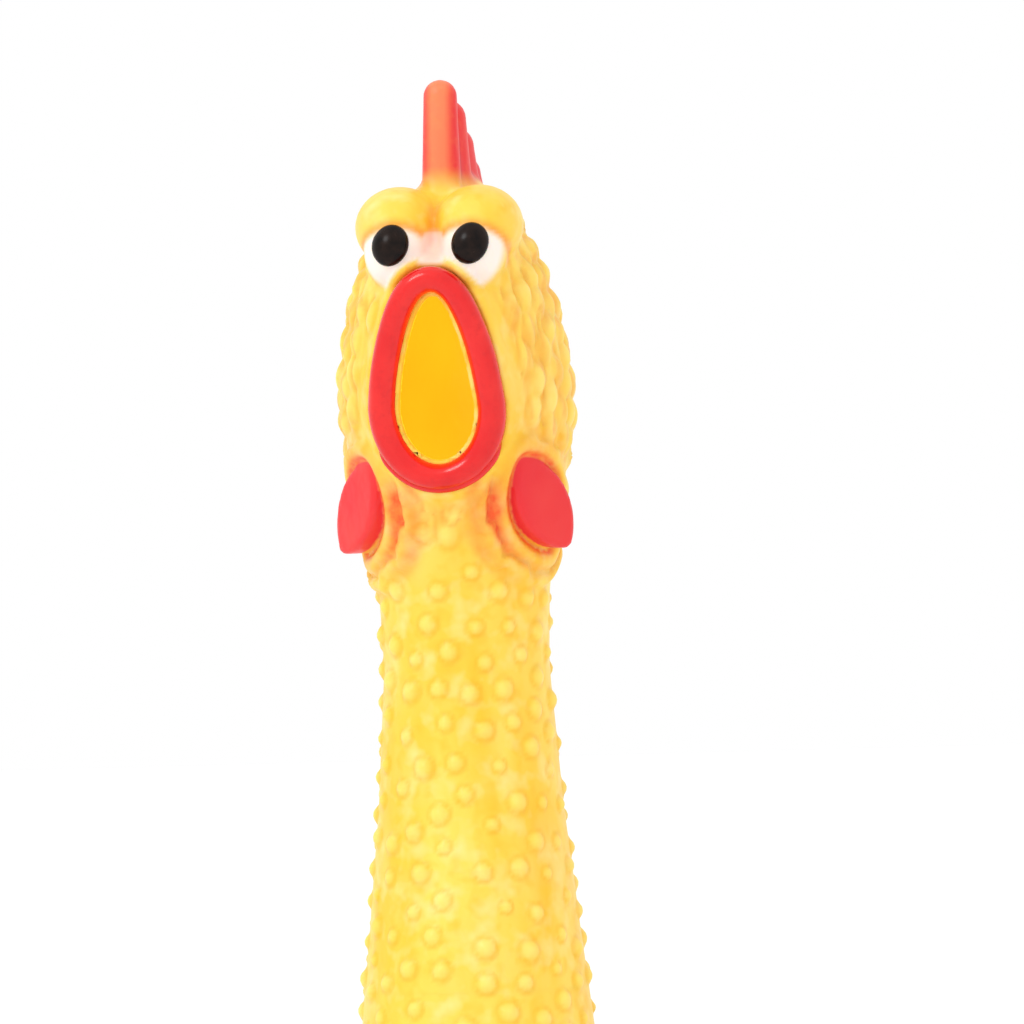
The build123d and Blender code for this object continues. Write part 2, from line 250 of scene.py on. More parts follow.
def jaw_folds(x, y, z, body):
    along, across, out = wattle_place(x, y, z)
    edge = leaf_edge(along, across)
    edge = edge + ramp(edge, 1, 5) * (0.6 * np.sin(along * 0.9 + 0.8) + 0.3 * np.sin(along * 2.1 + edge))
    shown = fold_side(along, across) * ramp(-z, -135, -131) * ramp(x, 2.5, 6.5)
    fold = np.full(np.shape(edge), 9.0)
    for offset, radius, all_round in FOLDS:
        size = radius * (1.0 if all_round else shown)
        faded = 0.6 * (size < 0.05)  # a fold with no width left is kept off the skin
        ridge = np.sqrt((edge - offset) ** 2 + (body - 0.1) ** 2) - size + faded
        fold = meld(fold, np.maximum(ridge, np.abs(out) - 8), 0.6)
    return np.maximum(fold, 4.0 - mouth_edge(x, z))


features.append((104, 136, 1.0, jaw_folds))
features.append((104, 136, 0.7, wattle))

# ---- Mouth ----
# The mouth is an upright egg, open into the hollow head and cut out after casting. A thin raised
# rim runs round outside the lips.
MOUTH_LEVEL = 136.4
MOUTH_HALF_WIDTH = 5.75
MOUTH_RISE = 16.7
MOUTH_DROP = 7.9
MOUTH_TAPER = 0.22
LIP_WIDTH = 4.0
RIM_OUT = LIP_WIDTH + 0.9
RIM_RADIUS = 0.85
FACE_BACK = -8.0
TABLE_GAP = 0.25
TABLE_START = (-1, 90)


def mouth_width(up):
    """The egg's half width, which tapers above its widest level."""
    return MOUTH_HALF_WIDTH * (1 - MOUTH_TAPER * np.clip(up / MOUTH_RISE, 0, 1))


def mouth_line(turn, offset=0.0):
    """Points round the mouth's egg outline, moved outwards by the offset."""
    ends = []
    for step in (-1e-3, 0, 1e-3):
        up = np.where(np.sin(turn + step) > 0, MOUTH_RISE, MOUTH_DROP) * np.sin(turn + step)
        ends.append(np.column_stack([mouth_width(up) * np.cos(turn + step), MOUTH_LEVEL + up]))
    run = ends[2] - ends[0]
    run /= np.linalg.norm(run, axis=1)[:, None]
    return (ends[1] + offset * np.column_stack([run[:, 1], -run[:, 0]])).T


def mouth_table():
    """Distances from the mouth's outline over the face, looked up by mouth_edge."""
    across = np.arange(TABLE_START[0], 40, TABLE_GAP)
    up = np.arange(TABLE_START[1], 200, TABLE_GAP)
    outline = mouth_line(np.linspace(-math.pi, math.pi, 900)).T
    nearest = np.full((len(across), len(up)), 1e9)
    for x, z in outline:
        nearest = np.minimum(nearest, (across[:, None] - x) ** 2 + (up[None, :] - z) ** 2)
    rise = up - MOUTH_LEVEL
    tall = np.where(rise > 0, MOUTH_RISE, MOUTH_DROP)
    within = (across[:, None] / mouth_width(rise)[None, :]) ** 2 + (rise / tall)[None, :] ** 2 < 1
    return np.where(within, -1, 1) * np.sqrt(nearest)


MOUTH_TABLE = mouth_table()


def mouth_edge(x, z):
    """Distance from the mouth's egg outline, in the plane of the face."""
    a = np.clip((np.abs(x) - TABLE_START[0]) / TABLE_GAP, 0, MOUTH_TABLE.shape[0] - 1.001)
    b = np.clip((z - TABLE_START[1]) / TABLE_GAP, 0, MOUTH_TABLE.shape[1] - 1.001)
    i, j = a.astype(int), b.astype(int)
    a, b = a - i, b - j
    return ((MOUTH_TABLE[i, j] * (1 - a) + MOUTH_TABLE[i + 1, j] * a) * (1 - b)
            + (MOUTH_TABLE[i, j + 1] * (1 - a) + MOUTH_TABLE[i + 1, j + 1] * a) * b)


def lip_rim(x, y, z, body):
    ring = np.sqrt((mouth_edge(x, z) - RIM_OUT) ** 2 + (body - 0.1) ** 2) - RIM_RADIUS
    return np.maximum(ring, y - FACE_BACK)


features.append((118, 164, 0.9, lip_rim))

# ---- Comb ----
# A solid vinyl blade of four upright lobes, each lower than the one in front. It stands on the
# crown.
COMB_LOBES = [       # foot, tip, foot radius, tip radius
    ((0, -10.3, 160.0), (0, -8.2, 182.7), 3.2, 2.5),
    ((0, -4.6, 163.0), (0, -2.8, 179.4), 4.2, 2.9),
    ((0, 1.6, 164.0), (0, 2.6, 175.2), 4.7, 3.1),
    ((0, 8.4, 163.0), (0, 7.8, 171.0), 4.6, 3.2),
]


def comb_lobes(x, y, z):
    return [finger(x, y, z, *lobe) for lobe in COMB_LOBES]


def comb(x, y, z, body):
    return joined(comb_lobes(x, y, z), 2.4)


features.append((154, 190, 1.5, comb))

# ---- Legs and feet ----
# Slim solid legs hang from the trunk, thicker at knee and ankle. A foot has three toes with a web
# between them and a spur behind, and is dipped in orange.
LEG_X = 11.5
LEG_PATH = [(LEG_X, 0, -36), (LEG_X, 0, -56), (LEG_X, 0, -66), (LEG_X, 0, -97), (LEG_X, 0, -106)]
LEG_RADII = (9.0, 6.1, 4.9, 3.8, 4.0)
KNEE_LUMP = ((LEG_X, -0.8, -60.5), (5.9, 6.1, 6.0))
ANKLE_LUMP = ((LEG_X, 0, -100.5), (4.7, 4.7, 4.2))
TOE_TIPS = [(-7.9, -1.2, -119.2), (0.0, -2.0, -122.6), (7.9, -1.2, -119.2)]
TOE_RADII = (3.0, 2.3, 2.25)
TOE_LUMP = (2.7, 2.9, 3.0)
FOOT_TOP = -105.0
WEB_EDGE = -116.5


def leg(x, y, z, body):
    limb = fingers(x, y, z, LEG_PATH, LEG_RADII, 2.0)
    limb = meld(limb, egg_lump(x, y, z, *KNEE_LUMP), 2.0)
    return meld(limb, egg_lump(x, y, z, *ANKLE_LUMP), 1.5)


def foot(x, y, z, body):
    claw = finger(x, y, z, (LEG_X, 1, FOOT_TOP), (LEG_X, 7.3, FOOT_TOP - 4.5), 2.8, 1.6)
    for side, front, tip in TOE_TIPS:
        middle = (LEG_X + side * 0.55, front * 0.8, (FOOT_TOP + tip) / 2)
        end = (LEG_X + side, front, tip)
        toe = fingers(x, y, z, [(LEG_X, 0, FOOT_TOP), middle, end], TOE_RADII, 1.0)
        toe = meld(toe, egg_lump(x, y, z, middle, TOE_LUMP), 1.0)
        claw = meld(claw, toe, 0.8)
    aside = np.abs(x - LEG_X)
    spread = np.maximum(aside - 0.52 * (FOOT_TOP - z) - 1.0, WEB_EDGE + 0.35 * aside - z)
    web = np.maximum(np.maximum(spread, z - FOOT_TOP), np.abs(y + 0.6) - 1.0)
    return meld(claw, web, 1.0)


features.append((-112, -20, 4.0, leg))
features.append((-130, -98, 1.2, foot))


# ---- Casting the skin ----
# The mould's shape less its hollow is the vinyl. It is drawn as a fine net of four-sided faces,
# whose points are then moved onto the true surface.
MM = 0.001
COLLAR_LEVEL = 97.0
COLLAR_HALF_HEIGHT = 4.0
COLLAR_BORE = 9.0


def outside(x, y, z):
    """The outer shape, with every feature and no hollow."""
    side = np.abs(x)
    body = trunk(x, y, z)
    lowest, highest = z.min(), z.max()
    for low, high, soft, feature in features:
        if highest > low and lowest < high:
            body = meld(body, feature(side, y, z, body), soft)
    return body


def hollow(x, y, z):
    """The air inside: the trunk less its wall, narrowed at the collar, and open at the mouth."""
    air = trunk(x, y, z) + WALL
    collar = np.maximum(np.abs(z - COLLAR_LEVEL) - COLLAR_HALF_HEIGHT, COLLAR_BORE - np.hypot(x, y))
    air = np.maximum(air, -collar)
    opening = np.maximum(mouth_edge(x, z) + 0.1, y - FACE_BACK)
    return np.minimum(air, opening)


def skin(x, y, z):
    """The vinyl between the outer shape and the air."""
    return np.maximum(outside(x, y, z), -hollow(x, y, z))


def cast(name, field, low, high, step, layers=24):
    """Draws the surface where the field is nought as a mesh of quads, in metres."""
    step = step
    axes = [np.arange(a, b + step, step) for a, b in zip(low, high)]
    slabs = []
    for start in range(0, len(axes[2]), layers):
        z = axes[2][start:start + layers][None, None, :]
        slabs.append(field(axes[0][:, None, None], axes[1][None, :, None], z).astype(np.float32))
    value = np.concatenate(slabs, axis=2)
    inside = value < 0
    corners = [(i, j, k) for i in (0, 1) for j in (0, 1) for k in (0, 1)]
    shape = [n - 1 for n in value.shape]
    count = np.zeros(shape, np.uint8)
    for i, j, k in corners:
        count += inside[i:i + shape[0], j:j + shape[1], k:k + shape[2]]
    cells = np.argwhere((count > 0) & (count < 8))
    number = np.full(shape, -1, np.int32)
    number[tuple(cells.T)] = np.arange(len(cells))
    total = np.zeros((len(cells), 3))
    hits = np.zeros(len(cells))
    for corner in corners:
        for axis in range(3):
            if corner[axis]:
                continue
            far = list(corner)
            far[axis] = 1
            a = value[tuple((cells + corner).T)]
            b = value[tuple((cells + far).T)]
            crossed = (a < 0) != (b < 0)
            share = np.where(crossed, a / np.where(crossed, a - b, 1), 0)
            point = np.array(corner, float)[None, :].repeat(len(cells), 0)
            point[:, axis] += share
            total += point * crossed[:, None]
            hits += crossed
    points = np.array(low)[None, :] + (cells + total / hits[:, None]) * step
    for _ in range(3):
        points = settle(points, field, step)
    quads = []
    for axis in range(3):
        one, two = [a for a in range(3) if a != axis]
        near = [slice(1, -1)] * 3
        near[axis] = slice(0, -1)
        far = list(near)
        far[axis] = slice(1, None)
        start, end = inside[tuple(near)], inside[tuple(far)]
        edges = np.argwhere(start != end)
        leaves = start[tuple(edges.T)]
        edges[:, one] += 1
        edges[:, two] += 1
        around = []
        for shift_one, shift_two in ((-1, -1), (0, -1), (0, 0), (-1, 0)):
            cell = edges.copy()
            cell[:, one] += shift_one
            cell[:, two] += shift_two
            around.append(number[tuple(cell.T)])
        ring = np.column_stack(around)
        turn = leaves if axis != 1 else ~leaves
        quads.append(np.where(turn[:, None], ring, ring[:, ::-1]))
    quads = np.vstack(quads)
    mesh = bpy.data.meshes.new(name)
    mesh.from_pydata((points * MM).tolist(), [], quads.tolist())
    mesh.validate()
    return mesh, points


def steepness(field, points, reach=0.08):
    """The field's slope along X, Y and Z at each point."""
    slopes = []
    for axis in range(3):
        shift = np.zeros(3)
        shift[axis] = reach
        slopes.append((field(*(points + shift).T) - field(*(points - shift).T)) / (2 * reach))
    return np.column_stack(slopes)


def settle(points, field, step):
    """Moves points onto the surface, by no more than half a step."""
    slope = steepness(field, points)
    move = field(*points.T)[:, None] * slope / np.maximum((slope ** 2).sum(1), 0.2)[:, None]
    length = np.linalg.norm(move, axis=1)[:, None]
    return points - move * np.minimum(1, 0.5 * step / np.maximum(length, 1e-9))


def attribute(mesh, name, values):
    """One number for each of the mesh's points."""
    layer = mesh.attributes.new(name, "FLOAT", "POINT")
    layer.data.foreach_set("value", np.asarray(values, np.float32))


MOULD_LOW = (-27.0, -28.0, -128.0)
MOULD_HIGH = (27.0, 27.0, 188.0)
NET_STEP = 0.6
body_mesh, body_points = cast("body", skin, MOULD_LOW, MOULD_HIGH, NET_STEP)


# ---- Paint ----
# The casting is yellow through. Reds, whites and orange are sprayed on through masks, so their
# edges are soft. Each mask is how much of one paint lies on each point of the skin. Some masks
# paint light or shade instead: painted shade in the creases round the lips and between the eyes,
# under the brows, in the V between them, between the comb's lobes and the wing's feathers, round
# each pimple and in the cheeks' wrinkles; painted highlights on the comb's front and the pimples'
# tops; and a painted glow inside the mouth.
FAR = 20.0           # stands for the distance from the mouth or wattle where neither is near


def paint_masks(points):
    x, y, z = np.abs(points[:, 0]), points[:, 1], points[:, 2]
    body = trunk(x, y, z)
    inner = ramp(-body, 0.9, 1.5) * (body < 0) * (hollow(*points.T) > -0.6)
    brows = brow(x, y, z, body)
    eye = eye_dome(x, y, z, body)
    edge = mouth_edge(x, z)
    front = ramp(-y, 10, 14)
    white = ramp(brows - eye, -0.2, 0.7) * ramp(-eye, -1.3, -0.2) * front * ramp(edge, 5.3, 6.2)
    white *= 1 - ramp(np.hypot((x - 5.3) / 5.2, (z - 160.2) / 6.2), 0.92, 1.1)
    bridge = (1 - ramp(x, 1.4, 2.6)) * ramp(z, 157.4, 158.4) * (1 - ramp(z, 161.6, 163.0)) * front
    white = np.maximum(white, bridge * ramp(-body, -2.5, -1.5))
    # Painted shade: the whites turn pinkish tan in the crease between the eyes.
    bridge_shade = white * (1 - ramp(x, 0.4, 2.4))
    # Painted shade: orange in the V between the brows.
    furrow_shade = (1 - ramp(x, 0.4, 1.6)) * ramp(z, 161, 162.5) * (1 - ramp(z, 165.5, 168)) * front
    blade = comb(x, y, z, body)
    along, across, out = wattle_place(x, y, z)
    leaf = leaf_edge(along, across)
    near_wattle = (np.abs(out) < 6.0) & (z < 136)
    wattle_edge = np.where(near_wattle, np.maximum(leaf, -out), 9.0)
    comb_red = ramp(-blade, -1.3, -0.4) * ramp(z + 0.10 * (y + 10), 168.0, 172.5)
    folds = jaw_folds(x, y, z, body)
    shown = fold_side(along, across) * ramp(z, 108, 121) * near_wattle * ramp(x, 2.0, 6.0)
    groove = np.exp(-((leaf - 0.6) / 0.5) ** 2) * near_wattle * 0.9
    for level, width, share in ((3.4, 0.75, 1.0), (6.3, 0.9, 0.85)):
        groove = np.maximum(groove, share * shown * np.exp(-((leaf - level) / width) ** 2))
    haze = 0.35 * shown * np.exp(-((leaf - 3.5) / 3.0) ** 2)
    beside_lips = ramp(-np.abs(edge - 9), -4, -1) * ramp(-z, -137, -127)
    haze += 0.30 * beside_lips * (y < -4) * (z > 118) * ramp(x, 5, 9)
    # Painted shade: orange along the brows' lower edge, where they hood the eyes.
    under_brow_shade = ramp(-np.abs(brows - eye), -1.1, -0.1) * ramp(-eye, -1.6, -0.4) * front
    # Painted shade: a dark line in the crease between the lips and the rim round them.
    crease_shade = front * (1 - ramp(np.abs(z - 140), 24, 27)) * ramp(eye, 0.3, 1.0)
    on_wattle = (leaf < 1.2) * near_wattle
    on_comb = ramp(-blade, -1.2, -0.3)
    lobes_apart = np.sort(comb_lobes(x, y, z), axis=0)
    # Painted shade: darker red in the grooves where the comb's lobes meet.
    lobe_groove_shade = on_comb * np.exp(-((lobes_apart[1] - lobes_apart[0]) / 0.8) ** 2) * ramp(z, 168, 171)
    # Painted highlight: the comb's front edge paler, salmon.
    comb_front_highlight = on_comb * ramp(-y, 7.4, 9.2) * (1 - ramp(x, 0.8, 2.4))
    plain = (1 - inner) * (1 - on_comb) * (1 - on_wattle)
    neck = plain * (1 - ramp(z, 112, 117)) * (1 - ramp(-z, 88, 94))
    throat_front = ramp(z, 112, 116) * (1 - ramp(z, 121, 124)) * ramp(-y, 4, 9)
    neck = np.maximum(neck, plain * throat_front * (folds > 1.0))
    beside = np.where(y < 0, edge, FAR)
    hackle = plain * ramp(z, 115, 120) * (1 - ramp(z, 163, 168)) * ramp(beside, 6.0, 8.0)
    hackle *= (1 - ramp(-eye, -2.0, -0.6)) * (1 - ramp(-brows, -0.8, 0.2)) * (folds > 1.2)
    # Orange overspray round the wattles and lips, with painted shade under the brows and in the V
    # between them.
    spray_and_shade = np.maximum(groove + haze, np.maximum(0.5 * under_brow_shade, 0.4 * furrow_shade))
    nought = np.zeros(len(z))
    return {
        "inner": inner, "white": white, "bridge_shade": bridge_shade, "red": comb_red, "wattle_edge": wattle_edge,
        "spray_and_shade": np.clip(spray_and_shade, 0, 1), "crease_shade": crease_shade, "foot": ramp(-z, 96, 104),
        "pimpled": neck * (folds > 0.8), "hackled": hackle, "lobe_groove_shade": lobe_groove_shade, "comb_front_highlight": comb_front_highlight,
        "dome": nought, "halo": nought, "wrinkle": nought, "mouth_edge": beside,
    }


body_masks = paint_masks(body_points)
for mask_name, mask in body_masks.items():
    attribute(body_mesh, mask_name, mask)


# ---- Vinyl pimples ----
# The mould is punched all over with small round pits, which stand on the neck and body as domes.
# On the cheeks the pits are long and upright, like short feathers.
def fill(node, sockets):
    """Sets a node's sockets: a wire or a socket is linked, and anything else is its value."""
    for key, value in sockets.items():
        if isinstance(value, Wire):
            value = value.socket
        if isinstance(value, bpy.types.NodeSocket):
            node.id_data.links.new(value, node.inputs[key])
        else:
            node.inputs[key].default_value = value


def add_node(tree, kind, settings=None, sockets=None):
    """One node with its settings made first, then its socket values and links."""
    node = tree.nodes.new(kind)
    for key, value in (settings or {}).items():
        setattr(node, key, value)
    fill(node, sockets or {})
    return node


def sum_of(operation, swapped=False):
    """A way for a wire to be worked out with one other value, by one Math node."""
    if swapped:
        return lambda wire, other: wire.math(operation, other, wire)
    return lambda wire, other: wire.math(operation, wire, other)


class Wire:
    """A number socket that takes part in sums."""

    __add__, __radd__ = sum_of("ADD"), sum_of("ADD", True)
    __sub__, __rsub__ = sum_of("SUBTRACT"), sum_of("SUBTRACT", True)
    __mul__, __rmul__ = sum_of("MULTIPLY"), sum_of("MULTIPLY", True)
    __truediv__, __rtruediv__ = sum_of("DIVIDE"), sum_of("DIVIDE", True)
    __pow__ = sum_of("POWER")
    larger = sum_of("MAXIMUM")
    above = sum_of("GREATER_THAN")

    def __init__(self, tree, socket):
        self.tree = tree
        self.socket = socket

    def math(self, operation, *values, clamp=False):
        sockets = {index: value for index, value in enumerate(values)}
        settings = {"operation": operation, "use_clamp": clamp}
        node = add_node(self.tree, "ShaderNodeMath", settings, sockets)
        return Wire(self.tree, node.outputs[0])

    def __abs__(self):
        return self.math("ABSOLUTE", self)

    def kept(self):
        """Held between nought and one."""
        return self.math("ADD", self, 0.0, clamp=True)


def pimple_tree():
    """Scatters points over the masked skin and lifts a dome, or a long feather, round each."""
    tree = bpy.data.node_groups.new("pimples", "GeometryNodeTree")
    node = functools.partial(add_node, tree)

    def vectors(operation, first, second):
        return node("ShaderNodeVectorMath", {"operation": operation}, {0: first, 1: second})

    def named(name):
        return node("GeometryNodeInputNamedAttribute", {"data_type": "FLOAT"},
                    {"Name": name}).outputs["Attribute"]

    def stored(geometry, name, value):
        return node("GeometryNodeStoreNamedAttribute", {"data_type": "FLOAT", "domain": "POINT"},
                    {"Geometry": geometry, "Name": name, "Value": value}).outputs[0]

    face = tree.interface
    face.new_socket("Skin", in_out="INPUT", socket_type="NodeSocketGeometry")
    for name, value in (("Spacing", 0.005), ("Radius", 0.0016), ("Height", 0.0008),
                        ("Stretch", 1.0), ("Uneven", 0.2), ("Wrinkle", 0.0)):
        face.new_socket(name, in_out="INPUT", socket_type="NodeSocketFloat").default_value = value
    face.new_socket("Seed", in_out="INPUT", socket_type="NodeSocketInt")
    face.new_socket("Mask", in_out="INPUT", socket_type="NodeSocketString")
    face.new_socket("Vinyl", in_out="INPUT", socket_type="NodeSocketMaterial")
    face.new_socket("Skin", in_out="OUTPUT", socket_type="NodeSocketGeometry")
    start = node("NodeGroupInput").outputs
    mask = named(start["Mask"])
    chosen = node("FunctionNodeCompare", {"data_type": "FLOAT", "operation": "GREATER_THAN"},
                  {0: mask, 1: 0.05})
    ground = node("GeometryNodeSeparateGeometry", {"domain": "FACE"},
                  {"Geometry": start["Skin"], "Selection": chosen.outputs[0]}).outputs["Selection"]
    spread = node("GeometryNodeDistributePointsOnFaces", {"distribute_method": "POISSON"},
                  {"Mesh": ground, "Distance Min": start["Spacing"], "Density Max": 1000000.0,
                   "Density Factor": mask, "Seed": start["Seed"]})
    uneven = Wire(tree, start["Uneven"])
    size = node("FunctionNodeRandomValue", {"data_type": "FLOAT"},
                {2: 1 - uneven, 3: 1 + uneven, "Seed": start["Seed"]})
    sized = stored(spread.outputs["Points"], "size", size.outputs[1])
    place = node("GeometryNodeInputPosition").outputs[0]
    shrink = node("ShaderNodeCombineXYZ", None,
                  {"X": 1.0, "Y": 1.0, "Z": 1 / Wire(tree, start["Stretch"])})
    pressed = vectors("MULTIPLY", place, shrink.outputs[0]).outputs[0]
    flat = node("GeometryNodeSetPosition", None, {"Geometry": sized, "Position": pressed}).outputs[0]
    nearest = node("GeometryNodeSampleNearest", {"domain": "POINT"},
                   {"Geometry": flat, "Sample Position": pressed}).outputs[0]
    centre = node("GeometryNodeSampleIndex", {"data_type": "FLOAT_VECTOR", "domain": "POINT"},
                  {"Geometry": flat, "Value": place, "Index": nearest}).outputs[0]
    scale_node = node("GeometryNodeSampleIndex", {"data_type": "FLOAT", "domain": "POINT"},
                      {"Geometry": flat, "Value": named("size"), "Index": nearest})
    scale = Wire(tree, scale_node.outputs[0])
    gap = Wire(tree, vectors("DISTANCE", pressed, centre).outputs["Value"])
    reach = gap / (scale * Wire(tree, start["Radius"]))
    dome = (1 - (reach * reach)).kept() ** 1.15
    # A ring round each pimple's foot, kept for painted shade.
    halo = (1 - abs(reach - 0.98) / 0.35).kept()
    rise = dome * Wire(tree, start["Height"]) * scale
    drawn = vectors("MULTIPLY", place, (1.0, 1.0, 0.22))
    noise = node("ShaderNodeTexNoise", None,
                 {"Vector": drawn.outputs[0], "Scale": 330.0, "Detail": 1.5, "Distortion": 0.5})
    wrinkle = Wire(tree, start["Wrinkle"])
    groove = (1 - abs(Wire(tree, noise.outputs["Fac"]) - 0.5) * 9).kept() * Wire(tree, mask)
    groove = groove * wrinkle.above(0.0)
    rise = rise - groove * wrinkle
    normal = node("GeometryNodeInputNormal").outputs[0]
    push = node("ShaderNodeVectorMath", {"operation": "SCALE"}, {0: normal, "Scale": rise})
    marked = start["Skin"]
    # Stored for the paint: each pimple's top for a painted highlight, a ring round its foot for painted
    # shade, and the cheeks' wrinkle grooves for painted shade.
    for name, value in (("dome", dome), ("halo", halo), ("wrinkle", groove)):
        marked = stored(marked, name, value.larger(Wire(tree, named(name))))
    raised = node("GeometryNodeSetPosition", None,
                  {"Geometry": marked, "Offset": push.outputs[0]}).outputs[0]
    whole = node("GeometryNodeRealizeInstances", None, {"Geometry": raised}).outputs[0]
    dressed = node("GeometryNodeSetMaterial", None,
                   {"Geometry": whole, "Material": start["Vinyl"]}).outputs[0]
    node("NodeGroupOutput", None, {0: dressed})
    return tree


PIMPLES = pimple_tree()


def punch(obj, mask, vinyl, **sizes):
    """Raises pimples where the mask is on, and leaves a plain mesh."""
    modifier = obj.modifiers.new("pimples", "NODES")
    modifier.node_group = PIMPLES
    values = {"Mask": mask, "Vinyl": vinyl, **sizes}
    for item in PIMPLES.interface.items_tree:
        if item.in_out == "INPUT" and item.name in values:
            modifier[item.identifier] = values[item.name]
    bpy.context.view_layer.update()
    settled = obj.evaluated_get(bpy.context.evaluated_depsgraph_get())
    mesh = bpy.data.meshes.new_from_object(settled)
    obj.modifiers.clear()
    obj.data = mesh


def placed(name, data):
    """A new object in the scene."""
    obj = bpy.data.objects.new(name, data)
    bpy.context.scene.collection.objects.link(obj)
    return obj


# ---- Vinyl finish ----
# Satin yellow vinyl, a little see-through, with sprayed colours over it, painted shade and
# highlights, a painted glow inside the mouth, and a fine moulded grain.
def colour(red, green, blue):
    """A colour as the eye names it, from 0 to 255, turned into light."""
    parts = [c / 255 for c in (red, green, blue)]
    return (*[c / 12.92 if c <= 0.04045 else ((c + 0.055) / 1.055) ** 2.4 for c in parts], 1.0)


def new_material(name):
    material = bpy.data.materials.new(name)
    material.use_nodes = True
    tree = material.node_tree
    return material, tree, tree.nodes["Principled BSDF"]


def mixed(share, first, second):
    """The first colour where the share is nought or less, and the second where it is one or more."""
    node = add_node(share.tree, "ShaderNodeMix", {"data_type": "RGBA", "clamp_factor": True},
                    {0: share, 6: first, 7: second})
    return node.outputs[2]


def grain(tree, size, detail=2.0, seed=0.0, stretch=(1.0, 1.0, 1.0)):
    """A cloudy pattern whose patches are about size metres."""
    place = add_node(tree, "ShaderNodeTexCoord").outputs["Object"]
    moved = add_node(tree, "ShaderNodeMapping", None,
                     {"Vector": place, "Location": (seed, seed, seed), "Scale": stretch})
    node = add_node(tree, "ShaderNodeTexNoise", None,
                    {"Vector": moved.outputs[0], "Scale": 1 / size, "Detail": detail})
    return Wire(tree, node.outputs["Fac"])


def lumpy_normal(lumps, depth):
    return add_node(lumps.tree, "ShaderNodeBump", None,
                    {"Height": lumps, "Distance": depth, "Strength": 0.5}).outputs[0]


def vinyl_material():
    material, tree, shader = new_material("vinyl")

    def share(name):
        node = add_node(tree, "ShaderNodeAttribute", {"attribute_name": name})
        return Wire(tree, node.outputs["Fac"])

    cloud = grain(tree, 0.012)
    speck = grain(tree, 0.0016, 3.0, 0.3)
    streak = grain(tree, 0.0075, 2.0, 0.8, (1.0, 1.0, 0.16))
    lumps = grain(tree, 0.0026, 1.0, 0.1)
    blotch = grain(tree, 0.0042, 2.0, 0.5)
    beside_lips = share("mouth_edge")
    # The mouth's inside is golden orange and also glows below: painted light standing in for light
    # coming through the thin vinyl.
    lining_glow = mixed(cloud * 2.0 - 0.5, colour(254, 196, 38), colour(252, 184, 32))
    lining_glow = mixed(1 - abs(beside_lips - 0.2) * 0.9, lining_glow, colour(255, 222, 58))
    crease_shade = (1 - abs(beside_lips - (LIP_WIDTH + 0.1)) / 0.6).kept() * share("crease_shade")
    scarlet = mixed(streak * 2.4 - 0.7, colour(232, 32, 46), colour(238, 62, 58))
    # Painted highlight on the comb's front edge.
    scarlet = mixed(share("comb_front_highlight") * (0.35 + streak * 0.9), scarlet, colour(248, 138, 92))
    # Painted shade in the grooves between the comb's lobes.
    scarlet = mixed(share("lobe_groove_shade") * 0.75, scarlet, colour(204, 24, 44))
    wattle_red = mixed(cloud * 2.2 - 0.6, colour(232, 40, 52), colour(240, 66, 62))
    tint = colour(254, 217, 92)
    for coat, paint in (
            (streak * 2.6 - 0.8, colour(251, 198, 52)),
            ((cloud - 0.5) * 1.8, colour(254, 222, 132)),
            ((lumps - 0.52) * 2.4, colour(250, 194, 50)),
            (((blotch - 0.5) * 3.2).kept() * 0.75, colour(255, 230, 150)),
            # Painted shade in a ring round each pimple.
            (share("halo") * 0.55, colour(249, 186, 42)),
            # Painted highlight on each pimple's top.
            (share("dome") * 0.8 - 0.2, colour(255, 228, 120)),
            (share("hackled") * 0.35, colour(255, 224, 116)),
            # Painted shade in the grooves of the cheeks' wrinkles.
            (share("wrinkle") * (0.4 + speck * 0.6), colour(246, 170, 58)),
            # The mouth's inside in its lining colour, part of the painted glow.
            (share("inner"), lining_glow),
            # Orange overspray, with painted shade under the brows, between them and between the wing's
            # feathers, and orange near the trunk on the wings.
            (share("spray_and_shade") * (0.5 + speck * 0.8), colour(246, 96, 40)),
            (share("white"), colour(255, 241, 230)),
            # Painted shade in the crease between the eyes.
            (share("bridge_shade") * 0.8, colour(250, 206, 188)),
            # Painted shade in the crease round the lips.
            (crease_shade * 0.75, colour(170, 70, 34)),
            (share("foot"), colour(240, 112, 30)),
            (share("red") * (0.9 + speck * 0.2), scarlet),
            ((0.4 - share("wattle_edge")) / 0.35, wattle_red)):
        tint = mixed(coat, tint, paint)
    fill(shader, {
        "Base Color": tint, "Roughness": 0.30 + cloud * 0.14,
        "Normal": lumpy_normal(speck * 0.15 + lumps, 0.0003),
        # Painted light: the mouth's inside glows in its lining colour, though it is no lamp.
        "Emission Color": mixed(share("inner"), (0, 0, 0, 1), lining_glow), "Emission Strength": 0.5,
        "Subsurface Weight": 0.2, "Subsurface Radius": (1.0, 0.55, 0.2), "Subsurface Scale": 0.001,
        "Specular IOR Level": 0.25,
    })
    return material


VINYL = vinyl_material()
body_cast = placed("body_cast", body_mesh)
punch(body_cast, "pimpled", VINYL, Spacing=0.0048, Radius=0.0015, Height=0.0008, Seed=4, Uneven=0.25,
      Wrinkle=0.0)
punch(body_cast, "hackled", VINYL, Spacing=0.0040, Radius=0.0019, Height=0.0009, Stretch=1.5, Seed=11,
      Uneven=0.0, Wrinkle=0.0004)


# ---- Sections of the skin ----
# The casting is cut where one stretch stays stiff, so that each section spans one joint only.
# Every cut is closed, and the shading of the whole skin is kept across it.
def read(items, key, width, kind=np.float32):
    """One number, or a row of numbers, for each item of a mesh."""
    values = np.zeros(len(items) * width, kind)
    items.foreach_get(key, values)
    return values.reshape(-1, width) if width > 1 else values


